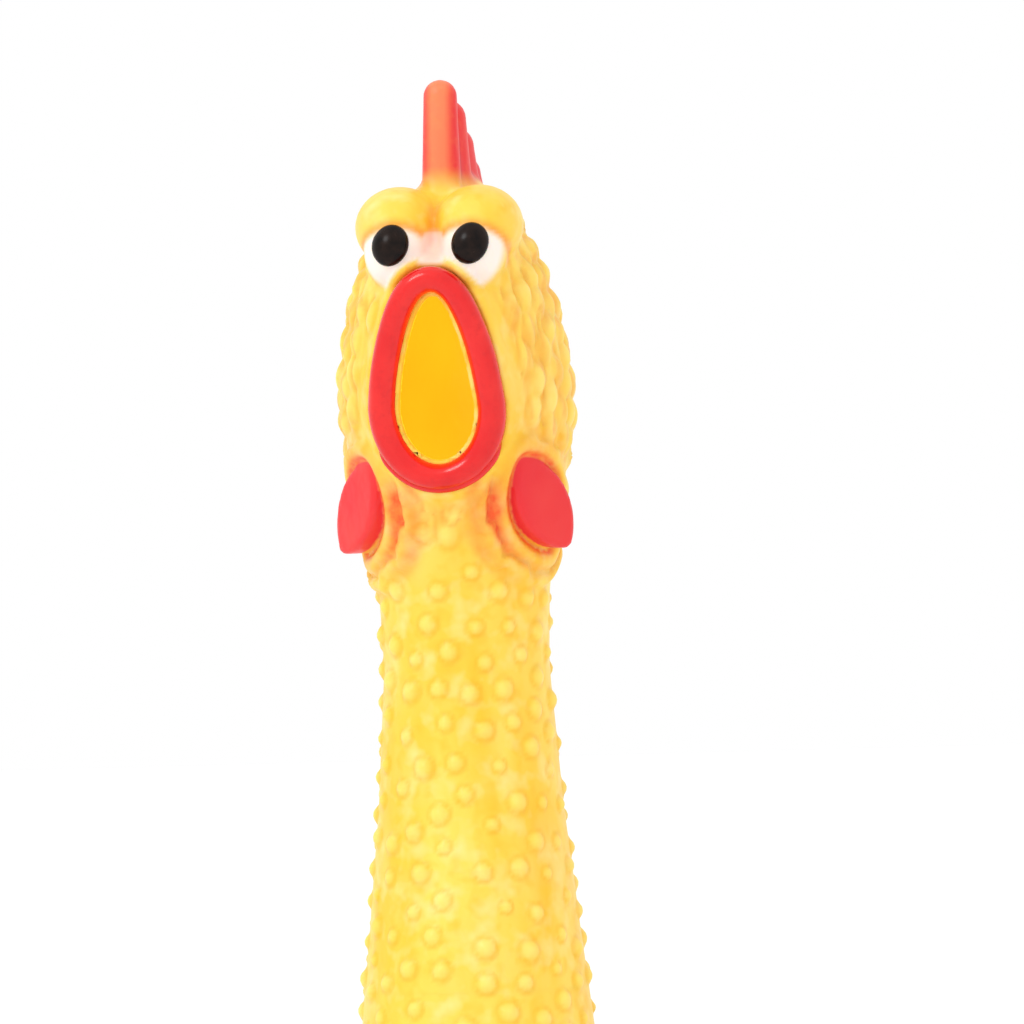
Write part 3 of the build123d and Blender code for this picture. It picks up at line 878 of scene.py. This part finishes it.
def section(name, source, cuts):
    """The part of the source on the near side of every cut, a point and a direction kept."""
    work = bmesh.new()
    work.from_mesh(source)
    lid = work.faces.layers.int.new("lid")
    for point, direction in cuts:
        everything = work.verts[:] + work.edges[:] + work.faces[:]
        cut = bmesh.ops.bisect_plane(work, geom=everything, dist=1e-7, plane_co=point,
                                     plane_no=direction, clear_inner=True)
        rim = [e for e in cut["geom_cut"] if isinstance(e, bmesh.types.BMEdge) and e.is_boundary]
        made = bmesh.ops.triangle_fill(work, use_beauty=True, edges=rim, normal=[-d for d in direction])
        for item in made["geom"]:
            if isinstance(item, bmesh.types.BMFace):
                item[lid] = 1
                if item.normal.dot(Vector(direction)) > 0:
                    item.normal_flip()
    mesh = bpy.data.meshes.new(name)
    work.to_mesh(mesh)
    work.free()
    shade_whole(mesh)
    mesh.materials.clear()
    mesh.materials.append(VINYL)
    return placed(name, mesh)


def shade_whole(mesh):
    """Gives the skin's corners the whole casting's shading, and each lid its own flat one."""
    shading = read(mesh.attributes["shading"].data, "vector", 3)
    shading /= np.maximum(np.linalg.norm(shading, axis=1), 1e-9)[:, None]
    points = read(mesh.loops, "vertex_index", 1, np.int32)
    sides = read(mesh.polygons, "loop_total", 1, np.int32)
    on_lid = np.repeat(read(mesh.attributes["lid"].data, "value", 1, np.int32), sides).astype(bool)
    flat = np.repeat(read(mesh.polygons, "normal", 3), sides, axis=0)
    normals = np.where(on_lid[:, None], flat, shading[points])
    mesh.shade_smooth()
    mesh.normals_split_custom_set(normals.tolist())
    for spare in ("shading", "lid"):
        mesh.attributes.remove(mesh.attributes[spare])


cast_mesh = body_cast.data
bpy.data.objects.remove(body_cast)
whole_shading = cast_mesh.attributes.new("shading", "FLOAT_VECTOR", "POINT")
whole_shading.data.foreach_set("vector", read(cast_mesh.vertices, "normal", 3).ravel())

UP, DOWN = (0, 0, 1), (0, 0, -1)
LEFT, RIGHT, FRONT, BACK = (1, 0, 0), (-1, 0, 0), (0, -1, 0), (0, 1, 0)
bends = {node: (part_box(node)[0].z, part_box(node)[1].z)
         for node in ("neck_low_bend", "neck_mid_bend", "neck_top_bend", "left_knee", "left_ankle")}
STIFF = 0.003        # stiff vinyl left above a bend before the cut
NECK_FOOT = 0.012    # vinyl below the lowest bend that still goes with the neck
LOW_SPLIT = bends["neck_low_bend"][1] + STIFF
MID_SPLIT = bends["neck_mid_bend"][1] + STIFF
TORSO_TOP = bends["neck_low_bend"][0] - NECK_FOOT
COMB_SPLIT = 0.1703
COMB_BEND = 0.006
KNEE_LOW, KNEE_TOP = bends["left_knee"]
ANKLE_LOW, ANKLE_TOP = bends["left_ankle"]


def height(z):
    return (0, 0, z)


for name, cuts, stands_for, slot, lower_body, upper_body, bend in (
        ("head", [(height(MID_SPLIT), UP), (height(COMB_SPLIT), DOWN)],
         ("head_skin", "neck_top_bend", "comb_root", "left_eye", "right_eye", "left_wattle",
          "right_wattle"), "skin_yellow", "neck_mid", "head", bends["neck_top_bend"]),
        ("comb_blade", [(height(COMB_SPLIT), UP)],
         ("comb",), "comb_red", "head", "comb", (COMB_SPLIT, COMB_SPLIT + COMB_BEND)),
        ("neck_upper", [(height(LOW_SPLIT), UP), (height(MID_SPLIT), DOWN)],
         ("neck_mid", "neck_mid_bend"), "skin_yellow", "neck_low", "neck_mid", bends["neck_mid_bend"]),
        ("neck_lower", [(height(TORSO_TOP), UP), (height(LOW_SPLIT), DOWN)],
         ("neck_low", "neck_low_bend"), "skin_yellow", "torso", "neck_low", bends["neck_low_bend"])):
    stretch = section(name, cast_mesh, cuts)
    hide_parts(*stands_for)
    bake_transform(stretch)

# The trunk is squeezed most at the middle of belly and back, and not at its sides or ends, so it is
# cut into four quarters there, and each quarter's slope of pressing is worked out.
SQUEEZE_LEVEL = (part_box("belly_panel")[0].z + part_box("belly_panel")[1].z) / 2
SQUEEZE_SLOPE = math.radians(35)
for face_name, facing, panel in (("front", FRONT, "belly"), ("rear", BACK, "back")):
    for end_name, toward, cuts in (
            ("upper", -1, [(height(SQUEEZE_LEVEL), UP), (height(TORSO_TOP), DOWN)]),
            ("lower", 1, [(height(SQUEEZE_LEVEL), DOWN), (height(KNEE_TOP), UP)])):
        quarter = section(f"trunk_{face_name}_{end_name}", cast_mesh, cuts + [((0, 0, 0), facing)])
        reach = Vector((0, facing[1] * math.cos(SQUEEZE_SLOPE), toward * math.sin(SQUEEZE_SLOPE)))
        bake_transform(quarter)
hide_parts("torso_skin", "belly_panel")
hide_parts("back_panel", "left_wing_root", "right_wing_root")
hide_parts("left_thigh", "right_thigh")

for side, facing in (("left", LEFT), ("right", RIGHT)):
    shank = section(f"{side}_lower_leg", cast_mesh,
                    [(height(KNEE_TOP), DOWN), (height(ANKLE_TOP), UP), ((0, 0, 0), facing)])
    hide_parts(f"{side}_knee", f"{side}_shank")
    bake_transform(shank)
    claws = section(f"{side}_claws", cast_mesh, [(height(ANKLE_TOP), DOWN), ((0, 0, 0), facing)])
    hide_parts(f"{side}_ankle", f"{side}_foot")
    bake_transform(claws)


# ---- Wings ----
# Small folded wings moulded as flaps: a round shoulder, a row of short feathers and a row of long
# ones. They lie against the trunk.
FEATHER_ROWS = [     # tips, where the row is rooted, then radii at root and tip, height and thickness
    ([(-6.2, -4.0), (-2.6, -10.8), (2.2, -14.8), (6.8, -11.2), (9.4, -3.6)], (0.5, 8.0),
     (2.8, 2.0, 2.1, 1.7)),
    ([(-6.4, 5.5), (-3.0, 1.6), (1.4, -0.4), (5.8, 1.8), (8.4, 6.6)], (0.4, 14.0),
     (2.6, 2.1, 3.6, 1.8)),
]
SHOULDER = (0.8, 19.0)


def feather(along, z, out, foot, tip, foot_radius, tip_radius, stand, thick):
    """A flattened finger lying at a height above the trunk's surface."""
    run = np.subtract(tip, foot)
    share = np.clip(((along - foot[0]) * run[0] + (z - foot[1]) * run[1]) / run.dot(run), 0, 1)
    radius = foot_radius + share * (tip_radius - foot_radius)
    gap = np.hypot(along - foot[0] - share * run[0], z - foot[1] - share * run[1])
    near = np.sqrt((gap / radius) ** 2 + ((out - stand) / thick) ** 2) + 1e-6
    return (near - 1) * thick


def feathers(y, z, out):
    return [feather(y, z, out, (tip[0] * 0.6 + root[0], root[1]), tip, *sizes)
            for tips, root, sizes in FEATHER_ROWS for tip in tips]


def wing(x, y, z):
    out = trunk(x, y, z)
    shoulder = feather(y, z, out, SHOULDER, (1.0, 13.0), 6.0, 6.2, 2.2, 3.4)
    flap = joined([shoulder, *feathers(y, z, out)], 0.3)
    return np.maximum(flap, 0.35 - out - 6 * np.clip((z - SHOULDER[1]) / 4, 0, 1))


wing_mesh, wing_points = cast("wing", wing, (12, -13, -22), (33, 15, 30), 0.5)
wing_out = trunk(*wing_points.T)
nearest_two = np.sort(feathers(wing_points[:, 1], wing_points[:, 2], wing_out), axis=0)[:2]
# Orange in the grooves between feathers: airbrushed feather lines, and painted shade in the grooves as
# well.
between = np.exp(-((nearest_two[1] - nearest_two[0]) / 0.45) ** 2) * ramp(wing_out, 1.6, 2.6)
# Orange on the flap's lower half, where it lies close to the trunk.
near_trunk_orange = 0.4 * ramp(-wing_out, -3.4, -1.6) * ramp(-wing_points[:, 2], -18, 0)
wing_masks = {mask_name: np.zeros(len(wing_points)) for mask_name in body_masks}
wing_masks["spray_and_shade"] = np.maximum(near_trunk_orange, 0.5 * between)
for mask_name in ("mouth_edge", "wattle_edge"):
    wing_masks[mask_name] += FAR
for mask_name, mask in wing_masks.items():
    attribute(wing_mesh, mask_name, mask)
for side, turn in (("left", 1), ("right", -1)):
    mesh = wing_mesh.copy()
    if turn < 0:
        mesh.transform(Matrix.Diagonal((-1, 1, 1, 1)))
        mesh.flip_normals()
    mesh.shade_smooth()
    mesh.materials.append(VINYL)
    flap = placed(f"{side}_wing_flap", mesh)
    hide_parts(f"{side}_wing")
    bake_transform(flap)


# ---- Lips ----
# A thick rounded ring moulded round the mouth and painted with gloss red, with a second fold under
# the lower lip.
UPPER_LIP_LEAD = 1.3


def on_face(field, x, z):
    """How far forward the modelled face stands at each place, and its outward direction."""
    y = np.full(len(x), -34.0)
    for _ in range(80):
        y = y + np.clip(field(x, y, z), -1, 1) * 0.7
    points = np.column_stack([x, y, z])
    slope = steepness(field, points, 0.3)
    return y, slope / np.linalg.norm(slope, axis=1)[:, None]


def rounded(line, times):
    """A closed run of points with its small bumps smoothed away."""
    for _ in range(times):
        line = (np.roll(line, 1, 0) + 2 * line + np.roll(line, -1, 0)) / 4
    return line


def tube_faces(around, across):
    ring = np.arange(around * across).reshape(around, across)
    after, beside = np.roll(ring, -1, 0), np.roll(ring, -1, 1)
    return np.column_stack([a.ravel() for a in (ring, after, np.roll(after, -1, 1), beside)])


def lip_tube(inner, outer, half_high, sink, weight=None, around=240, across=28):
    """A tube round the mouth between two distances from its edge, lying on the face."""
    turn = np.linspace(0, 2 * math.pi, around, endpoint=False)
    edges = []
    for offset in (inner, outer):
        x, z = mouth_line(turn, offset)
        y, out = on_face(trunk, x, z)
        y = y - UPPER_LIP_LEAD * ramp(z, 143, 156)
        edges.append(np.column_stack([x, rounded(y[:, None], 16)[:, 0], z]))
    middle, away = (edges[0] + edges[1]) / 2, (edges[1] - edges[0]) / 2
    out = rounded(out, 16)
    out *= [0.4, 1.0, 0.5]
    out -= (out * away).sum(1)[:, None] * away / (away * away).sum(1)[:, None]
    out /= np.linalg.norm(out, axis=1)[:, None]
    size = np.ones(around) if weight is None else weight(turn)
    middle = middle + out * sink
    roll = np.linspace(0, 2 * math.pi, across, endpoint=False)
    points = (middle[:, None, :] + away[:, None, :] * size[:, None, None] * np.cos(roll)[None, :, None]
              + out[:, None, :] * (half_high * size)[:, None, None] * np.sin(roll)[None, :, None])
    return points.reshape(-1, 3), tube_faces(around, across)


def piece_from(name, parts, material):
    """One object from runs of points and faces, with all faces outwards."""
    points, faces, shift = [], [], 0
    for part_points, part_faces in parts:
        points.append(part_points)
        faces += [tuple(int(i) + shift for i in face) for face in part_faces]
        shift += len(part_points)
    mesh = bpy.data.meshes.new(name)
    mesh.from_pydata((np.vstack(points) * MM).tolist(), [], faces)
    work = bmesh.new()
    work.from_mesh(mesh)
    bmesh.ops.recalc_face_normals(work, faces=work.faces[:])
    work.to_mesh(mesh)
    work.free()
    mesh.shade_smooth()
    mesh.materials.append(material)
    return placed(name, mesh)


def lip_material():
    material, tree, shader = new_material("lip_paint")
    cloud = grain(tree, 0.006)
    speck = grain(tree, 0.0012, 3.0, 0.7)
    tint = mixed(cloud * 2.4 - 0.7, colour(222, 12, 18), colour(236, 34, 30))
    tint = mixed(speck * 1.5 - 0.75, tint, colour(204, 12, 18))
    fill(shader, {"Base Color": tint, "Roughness": 0.16 + cloud * 0.14,
                  "Normal": lumpy_normal(cloud, 0.0004), "Specular IOR Level": 0.3,
                  "Coat Weight": 0.3, "Coat Roughness": 0.08})
    return material


LIP_PAINT = lip_material()


def lower_only(turn):
    """The second fold's thickness: full under the mouth, and next to nothing above it."""
    return 0.1 + 0.9 * ramp(-np.sin(turn), 0.25, 0.7)


lip_ring = lip_tube(0.4, LIP_WIDTH, 2.1, 0.6)
under_lip = lip_tube(LIP_WIDTH - 1.3, LIP_WIDTH + 0.6, 1.8, 0.2, lower_only, across=16)
lips = piece_from("lip_ring", [lip_ring, under_lip], LIP_PAINT)
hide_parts("lips")
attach(lips, "head")


# ---- Pupils ----
# Low domes moulded on the whites of the eyes and painted gloss black. They lie on the modelled
# face, and lean outwards at the top.
def pupil_material():
    material, tree, shader = new_material("pupil_paint")
    cloud = grain(tree, 0.0015)
    tint = mixed(cloud * 2 - 0.6, colour(12, 7, 6), colour(38, 24, 18))
    fill(shader, {"Base Color": tint, "Roughness": 0.14 + cloud * 0.2, "Specular IOR Level": 0.14})
    return material


PUPIL_PAINT = pupil_material()
PUPIL_MIDDLE = (6.0, 160.7)
PUPIL_HALF_WIDTH = 2.75
PUPIL_HALF_HEIGHT = 3.15
PUPIL_LEAN = math.radians(18)
PUPIL_RAISE = 1.0
PUPIL_SINK = 0.5


def pupil_points(side, rings=12, around=48):
    """A dome's points from its middle out, and its faces, closed behind."""
    reach = np.concatenate([[0], np.repeat(np.linspace(1 / rings, 1, rings), around)])
    turn = np.concatenate([[0], np.tile(np.linspace(0, 2 * math.pi, around, endpoint=False), rings)])
    across, up = reach * np.cos(turn) * PUPIL_HALF_WIDTH, reach * np.sin(turn) * PUPIL_HALF_HEIGHT
    lean = PUPIL_LEAN * side
    x = side * PUPIL_MIDDLE[0] + across * math.cos(lean) + up * math.sin(lean) * side
    z = PUPIL_MIDDLE[1] + up * math.cos(lean) - across * math.sin(lean) * side
    y, out = on_face(outside, x, z)
    front = np.column_stack([x, y, z]) + out * (PUPIL_RAISE * (1 - reach ** 2) ** 0.55)[:, None]
    rear = np.column_stack([x, y, z]) - out * PUPIL_SINK
    faces = []
    last = (rings - 1) * around
    for a in range(1, around + 1):
        b = a % around + 1
        for shift in (0, len(x)):
            faces.append((shift, shift + a, shift + b))
            for ring in range(shift, shift + last, around):
                faces.append((ring + a, ring + around + a, ring + around + b, ring + b))
        faces.append((last + a, len(x) + last + a, len(x) + last + b, last + b))
    return np.vstack([front, rear]), faces


for side_name, side in (("left", 1), ("right", -1)):
    pupil = piece_from(f"{side_name}_pupil_dome", [pupil_points(side)], PUPIL_PAINT)
    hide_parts(f"{side_name}_pupil")
    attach(pupil, "head")


# ---- Voice unit ----
# Five plain plastic mouldings pushed in through the mouth: barrel, cover, seat, reed and wedge.
# Their shapes are the frame's own, so they only get their plastics.
def plastic(name, light, dark, rough, alpha=1.0):
    material, tree, shader = new_material(name)
    cloud = grain(tree, 0.003)
    speck = grain(tree, 0.0004, 3.0, 0.2)
    fill(shader, {"Base Color": mixed(cloud * 2 - 0.5, light, dark), "Roughness": rough + speck * 0.15,
                  "Normal": lumpy_normal(speck, 0.00005), "Alpha": alpha})
    return material


VOICE_WHITE = plastic("voice_plastic", colour(238, 236, 230), colour(224, 221, 212), 0.35)
SEAT_GREY = plastic("seat_plastic", colour(205, 212, 218), colour(188, 196, 204), 0.3)
REED_FILM = plastic("reed_film", colour(206, 222, 236), colour(190, 210, 228), 0.12, 0.7)
for node, material in (("voice_housing", VOICE_WHITE), ("voice_cover", VOICE_WHITE),
                       ("reed_seat", SEAT_GREY), ("reed_wedge", SEAT_GREY), ("reed", REED_FILM)):
    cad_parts[node].data.materials.clear()
    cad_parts[node].data.materials.append(material)


# ---- Floor, light and camera ----
# A plain pale floor under the feet, even white light all round, and one soft key light from in
# front, above and the toy's right. The camera looks at face and neck from a little to its left.
FLOOR_HALF = 6.0
FLOOR_LEVEL = cad_box[0].z
floor_mesh = bpy.data.meshes.new("floor")
floor_mesh.from_pydata([(x * FLOOR_HALF, y * FLOOR_HALF, FLOOR_LEVEL)
                        for x, y in ((-1, -1), (1, -1), (1, 1), (-1, 1))], [], [(0, 1, 2, 3)])
floor = placed("floor", floor_mesh)
floor_paint, floor_tree, floor_shader = new_material("floor_paint")
floor_tint = mixed(grain(floor_tree, 0.4), colour(250, 250, 250), colour(246, 246, 246))
fill(floor_shader, {"Base Color": floor_tint, "Roughness": 0.9})
floor_mesh.materials.append(floor_paint)

world = bpy.data.worlds.new("studio")
world.use_nodes = True
fill(world.node_tree.nodes["Background"], {"Color": (1, 1, 1, 1), "Strength": 1.0})
bpy.context.scene.world = world

key = bpy.data.lights.new("key", "SUN")
key.energy = 0.85
key.angle = math.radians(22)
key_light = placed("key", key)
key_light.rotation_euler = Vector((0.55, 0.75, -0.85)).to_track_quat("-Z", "Y").to_euler()

VIEW_TURN = math.radians(9)
VIEW_RISE = math.radians(1)
VIEW_DISTANCE = 2.2
VIEW_WIDTH = 0.1536
SENSOR_WIDTH = 36.0
VIEW_ROLL = math.radians(1.8)
AIM_LEVEL = 0.1202
AIM_ASIDE = 0.0075

camera_data = bpy.data.cameras.new("camera")
camera = placed("camera", camera_data)
level = Vector((math.sin(VIEW_TURN), -math.cos(VIEW_TURN), 0))
backward = level * math.cos(VIEW_RISE) + Vector((0, 0, math.sin(VIEW_RISE)))
sideways = Vector((math.cos(VIEW_TURN), math.sin(VIEW_TURN), 0))
aim = Vector((0, 0, AIM_LEVEL)) + sideways * AIM_ASIDE
camera.location = aim + backward * VIEW_DISTANCE
look = (-backward).to_track_quat("-Z", "Y").to_matrix().to_4x4()
roll = Matrix.Rotation(-VIEW_ROLL, 4, "Z")
camera.matrix_world = Matrix.Translation(camera.location) @ look @ roll
camera_data.sensor_width = SENSOR_WIDTH
camera_data.lens = SENSOR_WIDTH * VIEW_DISTANCE / VIEW_WIDTH
camera_data.clip_end = 50.0
bpy.context.scene.camera = camera
bpy.context.scene.view_settings.view_transform = "Standard"
